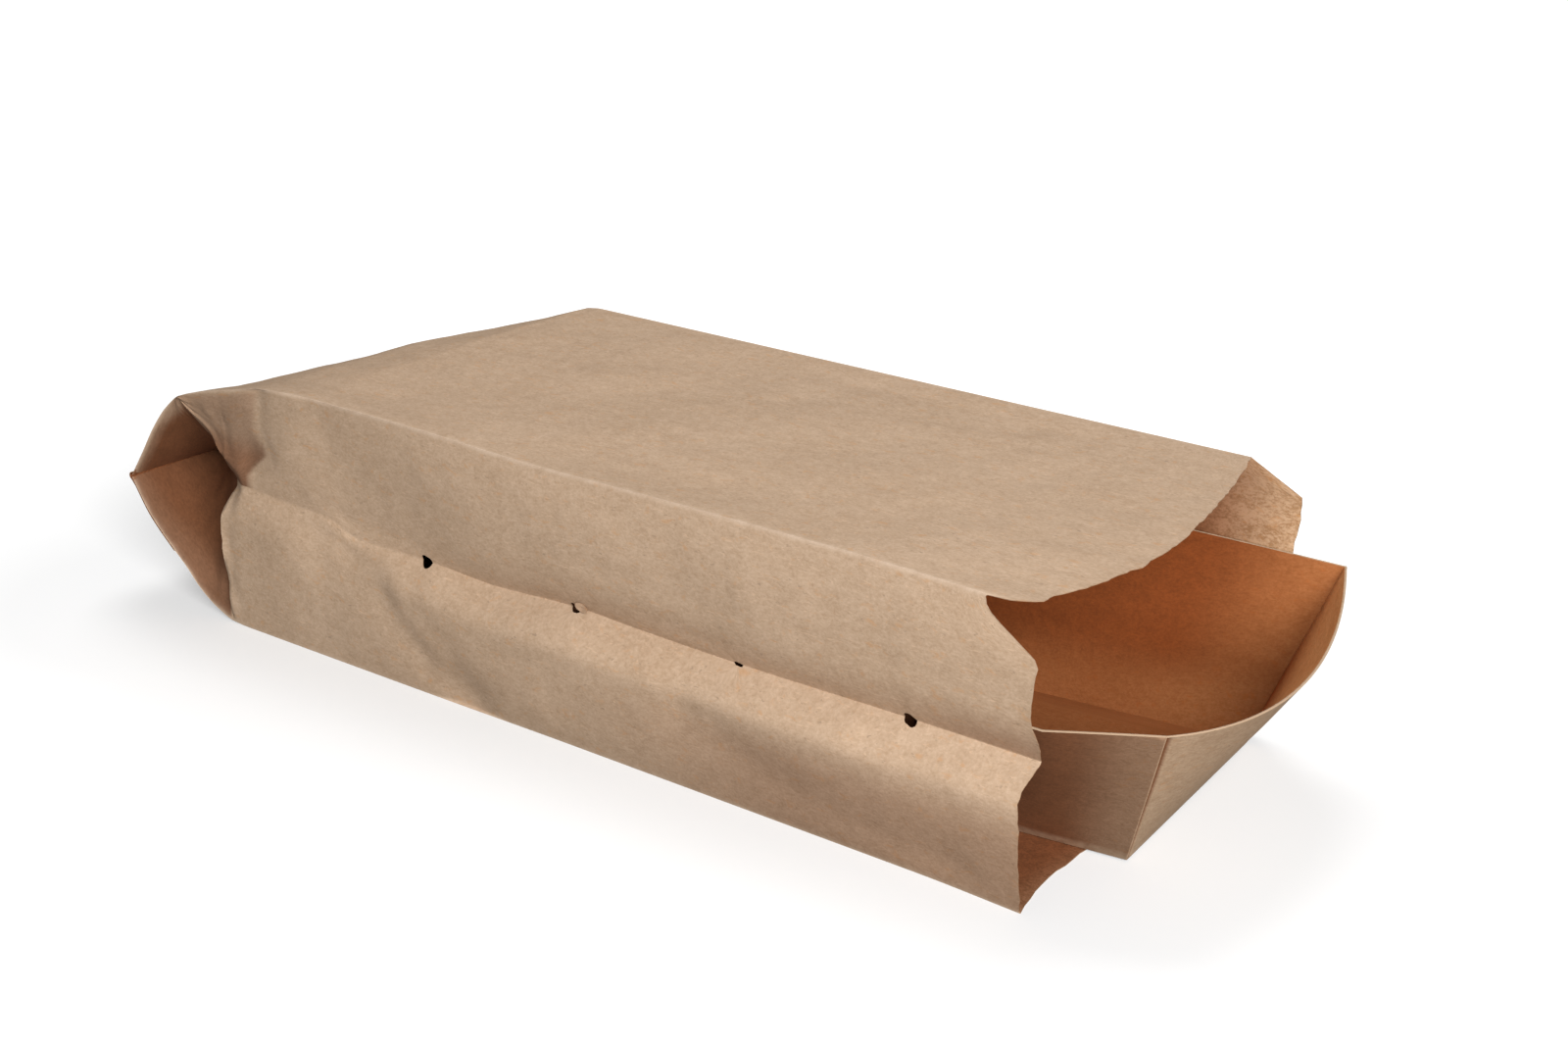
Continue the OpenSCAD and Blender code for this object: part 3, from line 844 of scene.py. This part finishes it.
def make_tray(board, cut_board, board_inside):
    loop = tray_loop()
    n, count = len(loop), len(TRAY_STEPS)
    ways = outward_ways(loop)
    outer, inner = tray_wall(loop, ways, False), tray_wall(loop, ways, True)
    for p in inner[0]:
        p[2] = BOARD
    for p in inner[1] + inner[2]:
        p[2] = max(p[2], BOARD)
    rim_out = [mix(base, rim, 0.998) for base, rim, *_ in loop]
    rim_mid = [column[1] - way * BOARD * 0.5 + np.array([0, 0, 0.08]) for column, way in zip(loop, ways)]
    rim_in = [p - way * BOARD for p, way in zip(rim_out, ways)]
    points = np.concatenate(outer + [rim_out, rim_mid, rim_in] + inner[::-1])
    faces = grid_faces(count, n, closed=True)
    flat_z = np.array([h * WALL_H + (0 if i <= RIM_ROW else 120) for i, h in enumerate(TRAY_STEPS)])
    sheet = np.stack([np.tile([column[3] for column in loop], count), np.repeat(flat_z, n)], axis=-1)
    wear, painted_shade = tray_marks(loop)

    base_points, base_sheet, base_faces = tray_base(points, n)
    points, sheet = np.concatenate([points, base_points]), np.concatenate([sheet, base_sheet])
    wear = np.concatenate([wear, np.zeros(len(base_points))])
    # Painted shade over the base, deeper towards the back of the tray.
    painted_shade = np.concatenate([painted_shade, 0.5 + 0.2 * ease((2 - base_points[:, 0]) / 60)])
    c, s = math.cos(TRAY_YAW), math.sin(TRAY_YAW)
    placed = np.stack([
        points[:, 0] * c - points[:, 1] * s + MOUTH_X + TRAY_OUT,
        points[:, 0] * s + points[:, 1] * c + BASE_Y - BAG_W / 2,
        points[:, 2] + TRAY_Z,
    ], axis=-1)
    faces = [tuple(reversed(f)) for f in faces + base_faces]
    finishes = [board, cut_board, board_inside]
    tray = make_piece("board_tray", placed, faces, sheet, finishes, {"wear_and_highlight": wear, "painted_shade": painted_shade})
    wall_faces, outer_base_faces = (count - 1) * n, 4 * n
    for k, face in enumerate(tray.data.polygons):
        row = k // n
        if k >= wall_faces:
            face.material_index = 2 if k >= wall_faces + outer_base_faces else 0
        elif row >= RIM_ROW:
            face.material_index = 1 if row < RIM_ROW + 2 else 2
        else:
            face.material_index = 0
    crisp(tray, 34)
    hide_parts("tray")


def crisp(piece, degrees):
    """Keeps folds sharper than this angle as hard edges."""
    work = bmesh.new()
    work.from_mesh(piece.data)
    for edge in work.edges:
        if len(edge.link_faces) == 2 and edge.calc_face_angle(0) > math.radians(degrees):
            edge.smooth = False
    work.to_mesh(piece.data)
    work.free()


# Finishes

class Field:
    """A value or colour that changes over a surface: one output socket in a material's node tree."""

    def __init__(self, tree, socket=None):
        self.tree = tree
        self.socket = socket

    def node(self, kind, settings=None, sockets=None, output=0):
        made = self.tree.nodes.new("ShaderNode" + kind)
        for name, value in (settings or {}).items():
            setattr(made, name, value)
        for name, value in (sockets or {}).items():
            if isinstance(value, Field):
                self.tree.links.new(value.socket, made.inputs[name])
            else:
                made.inputs[name].default_value = value
        return Field(self.tree, made.outputs[output] if made.outputs else None)

    def work(self, operation, first, second):
        return self.node("Math", {"operation": operation}, {0: first, 1: second})

    def __add__(self, other):
        return self.work("ADD", self, other)

    def __radd__(self, other):
        return self.work("ADD", other, self)

    def __sub__(self, other):
        return self.work("SUBTRACT", self, other)

    def __rsub__(self, other):
        return self.work("SUBTRACT", other, self)

    def __mul__(self, other):
        return self.work("MULTIPLY", self, other)

    def __rmul__(self, other):
        return self.work("MULTIPLY", other, self)

    def clamp(self, low, high):
        """From 0 where this is low to 1 where it is high."""
        return self.node("MapRange", {"clamp": True}, {"Value": self, "From Min": low, "From Max": high})


def cleared(owner):
    """The emptied node tree of a material or world, ready for new nodes."""
    owner.use_nodes = True
    owner.node_tree.nodes.clear()
    return Field(owner.node_tree)


def blend(nodes, factor, a, b):
    def shade(c):
        return c if isinstance(c, Field) else (*c, 1)

    return nodes.node("Mix", {"data_type": "RGBA"}, {0: factor, 6: shade(a), 7: shade(b)}, output=2)


def toned(colour, *shares):
    """A colour scaled by one share, or by one for each of red, green and blue."""
    shares = shares if len(shares) == 3 else shares * 3
    return tuple(min(1, c * k) for c, k in zip(colour, shares))


def kraft_finish(name, shade, dark, pale, wear_and_highlight_colour, painted_shade_colour, bump=0.35, mottle=1.0, mark="painted_shade"):
    """Uncoated brown kraft: clouds, mottle, loose fibres and specks; darkened towards a painted shade colour where its
    mark is set, and paler where a fold is worn or carries a painted highlight.
    """
    material = bpy.data.materials.new(name)
    nodes = cleared(material)
    place = nodes.node("UVMap", {"uv_map": "sheet"})

    def grain(scale, stretch=(1, 1), turn=0.0, detail=2.0, bend=0.0, seed=0.0):
        moved = nodes.node("Mapping", {"vector_type": "POINT"}, {
            "Vector": place, "Location": (seed, seed * 0.7, seed), "Rotation": (0, 0, turn), "Scale": (*stretch, 1),
        })
        return nodes.node("TexNoise", {"noise_dimensions": "3D"}, {
            "Vector": moved, "Scale": scale, "Detail": detail, "Roughness": 0.55, "Distortion": bend,
        })

    def marked(label):
        return nodes.node("Attribute", {"attribute_name": label, "attribute_type": "GEOMETRY"}, output=2)

    cloud = grain(0.35, detail=3, seed=3.1)
    streak = grain(1.1, (0.4, 1.6), 0.1, 3, 0.3, 1.7)
    patch = grain(2.4, detail=4, seed=7.9)
    clump = grain(5.6, (0.8, 1.3), 0.35, 2, 0.6, 3.7)
    tooth = grain(13, (0.8, 1.2), 0.2, 3, 0.2, 5.3)
    fine = grain(32, detail=2, seed=2.2)
    fibre = grain(7.5, (0.35, 2.2), 0.35, 2, 0.9, 4.4).clamp(0.63, 0.72)
    fibre_b = grain(7.0, (0.35, 2.3), -0.7, 2, 0.9, 8.1).clamp(0.64, 0.73)
    speck = grain(9.5, (0.6, 1.5), 0.9, 2, 0.6, 6.6).clamp(0.66, 0.74)
    rust = grain(4.2, (0.7, 1.3), -0.2, 3, 0.5, 9.9).clamp(0.60, 0.72)

    broad = (cloud - 0.5) * 0.55 + (streak - 0.5) * 0.35 + (patch - 0.5) * 0.85
    close = (clump - 0.5) * 1.1 + (tooth - 0.5) * 1.5 + (fine - 0.5) * 0.6
    tone = (0.5 + mottle * (broad + close)).clamp(0.0, 1.0)
    colour = blend(nodes, tone, dark, pale)
    colour = blend(nodes, rust * 0.65, colour, toned(shade, 1.05, 0.86, 0.66))
    colour = blend(nodes, fibre * 0.6 + fibre_b * 0.5, colour, toned(shade, 1.28))
    colour = blend(nodes, speck * 0.65, colour, toned(shade, 0.62))
    # Painted shade where the mark is set, then paler where folds are worn or painted with a highlight.
    painted_shade_tone = blend(nodes, tone, toned(painted_shade_colour, 0.82), toned(painted_shade_colour, 1.18))
    colour = blend(nodes, marked(mark), colour, painted_shade_tone)
    colour = blend(nodes, marked("wear_and_highlight") * (0.35 + patch.clamp(0.3, 0.65) * 0.6), colour, wear_and_highlight_colour)

    height = tooth * 0.6 + fine * 0.25 + fibre * 0.35 + patch * 0.5
    surface = nodes.node("BsdfPrincipled", {}, {
        "Base Color": colour,
        "Roughness": 0.82 + (patch - 0.5) * 0.2,
        "Specular IOR Level": 0.2,
        "Normal": nodes.node("Bump", {}, {"Strength": bump, "Distance": 0.00025, "Height": height}),
    })
    nodes.node("OutputMaterial", {}, {"Surface": surface})
    return material


def floor_finish():
    """White sweep: lit like paper, and lifted to plain white for the camera and for reflections."""
    material = bpy.data.materials.new("white_sweep")
    nodes = cleared(material)
    camera, glossy, clear = (
        nodes.node("LightPath", output=f"Is {ray} Ray") for ray in ("Camera", "Glossy", "Transmission")
    )
    spread = nodes.node("VectorMath", {"operation": "ABSOLUTE"}, {0: nodes.node("NewGeometry")})
    outside = nodes.node("VectorMath", {"operation": "SUBTRACT"}, {0: spread, 1: (0.17, 0.06, 0)})
    outside = nodes.node("VectorMath", {"operation": "MAXIMUM"}, {0: outside, 1: (0, 0, 0)})
    away = nodes.node("VectorMath", {"operation": "LENGTH"}, {0: outside}, output=1).clamp(0.05, 0.30)
    surface = nodes.node("BsdfPrincipled", {}, {
        "Base Color": blend(nodes, camera, (0.13, 0.13, 0.13), (0.62, 0.62, 0.62)),
        "Roughness": 0.9,
        "Specular IOR Level": 0.0,
        "Emission Color": blend(nodes, away, (0.39, 0.39, 0.39), (0.95, 0.95, 0.95)),
        "Emission Strength": camera + glossy + clear,
    })
    nodes.node("OutputMaterial", {}, {"Surface": surface})
    return material


def make_floor():
    reach = 3.0
    corners = [(-reach, -reach, 0), (reach, -reach, 0), (reach, reach, 0), (-reach, reach, 0)]
    mesh = bpy.data.meshes.new("floor")
    mesh.from_pydata(corners, [], [(0, 1, 2, 3)])
    mesh.materials.append(floor_finish())
    floor = bpy.data.objects.new("floor", mesh)
    bpy.context.scene.collection.objects.link(floor)


def make_light():
    """A dim white room, a key lamp at the mouth's side and a soft lamp above."""
    scene = bpy.context.scene
    scene.world = bpy.data.worlds.new("studio")
    nodes = cleared(scene.world)
    seen = nodes.node("LightPath", output="Is Camera Ray")
    sky = nodes.node("Background", {}, {"Color": (1, 1, 1, 1), "Strength": 0.16 + seen * 0.84})
    nodes.node("OutputWorld", {}, {"Surface": sky})
    aim = Vector((0, 0, 0.03))
    for name, place, size, power in (("key", (1.023, -0.799, 0.555), 0.7, 28.5), ("top", (-0.3, 0.38, 1.2), 0.6, 6.4)):
        lamp = bpy.data.lights.new(name, "AREA")
        lamp.size = size
        lamp.energy = power
        lamp.color = (1, 1, 1)
        holder = bpy.data.objects.new(name, lamp)
        holder.location = place
        holder.rotation_euler = (aim - Vector(place)).to_track_quat("-Z", "Y").to_euler()
        scene.collection.objects.link(holder)


def make_camera():
    lens = bpy.data.cameras.new("camera")
    lens.sensor_width = 36
    lens.lens = 57.465
    camera = bpy.data.objects.new("camera", lens)
    camera.location = (0.4226, -0.4987, 0.290)
    camera.rotation_euler = (math.radians(69.635), 0, math.radians(38.8))
    bpy.context.scene.collection.objects.link(camera)
    bpy.context.scene.camera = camera
    bpy.context.scene.view_settings.view_transform = "Standard"


# The paper's own colour, with a painted shade colour for the pockets, the turned-in flap and the crease.
paper = kraft_finish(
    "kraft_paper",
    shade=(0.50, 0.350, 0.235),
    dark=(0.43, 0.290, 0.185),
    pale=(0.57, 0.410, 0.285),
    wear_and_highlight_colour=(0.66, 0.50, 0.37),
    painted_shade_colour=(0.165, 0.064, 0.027),
)
# Cut edges, darker than the paper: painted shade along the cut.
cut_paper = kraft_finish(
    "cut_paper_edge",
    shade=(0.32, 0.200, 0.12),
    dark=(0.27, 0.16, 0.09),
    pale=(0.37, 0.24, 0.15),
    wear_and_highlight_colour=(0.37, 0.24, 0.15),
    painted_shade_colour=(0.15, 0.07, 0.03),
    bump=0.1,
)
# Inner side of the paper: warmer and more orange than the outside, a painted glow of light bounced inside the bag and
# passed through the paper; its mark darkens it to painted shade.
paper_inside = kraft_finish(
    "kraft_paper_inside",
    shade=(0.55, 0.345, 0.190),
    dark=(0.42, 0.235, 0.115),
    pale=(0.64, 0.420, 0.255),
    wear_and_highlight_colour=(0.58, 0.38, 0.23),
    painted_shade_colour=(0.20, 0.068, 0.025),
    mottle=1.9,
    mark="inner",
)
# The board's own colour, with a painted shade colour for the near wall, the base and the corner's groove.
board = kraft_finish(
    "kraft_board",
    shade=(0.44, 0.290, 0.182),
    dark=(0.37, 0.235, 0.14),
    pale=(0.50, 0.345, 0.225),
    wear_and_highlight_colour=(0.56, 0.41, 0.28),
    painted_shade_colour=(0.175, 0.067, 0.028),
    mottle=1.1,
)
cut_board = kraft_finish(
    "cut_board_edge",
    shade=(0.44, 0.305, 0.20),
    dark=(0.38, 0.255, 0.16),
    pale=(0.50, 0.355, 0.24),
    wear_and_highlight_colour=(0.50, 0.355, 0.24),
    painted_shade_colour=(0.44, 0.305, 0.20),
    bump=0.1,
)
# Inner side of the board: much warmer and more orange than the outside, painted bounce light inside the tray; its mark
# darkens it to painted shade.
board_inside = kraft_finish(
    "kraft_board_inside",
    shade=(0.86, 0.36, 0.130),
    dark=(0.76, 0.30, 0.100),
    pale=(0.93, 0.43, 0.170),
    wear_and_highlight_colour=(0.70, 0.36, 0.18),
    painted_shade_colour=(0.225, 0.056, 0.012),
    mottle=1.1,
)

bag_grid = make_bag(paper, cut_paper, paper_inside)
make_turned_strip(paper, cut_paper, paper_inside)
make_vent_flap(2, bag_grid, paper, cut_paper)
make_tray(board, cut_board, board_inside)
make_floor()
make_light()
make_camera()
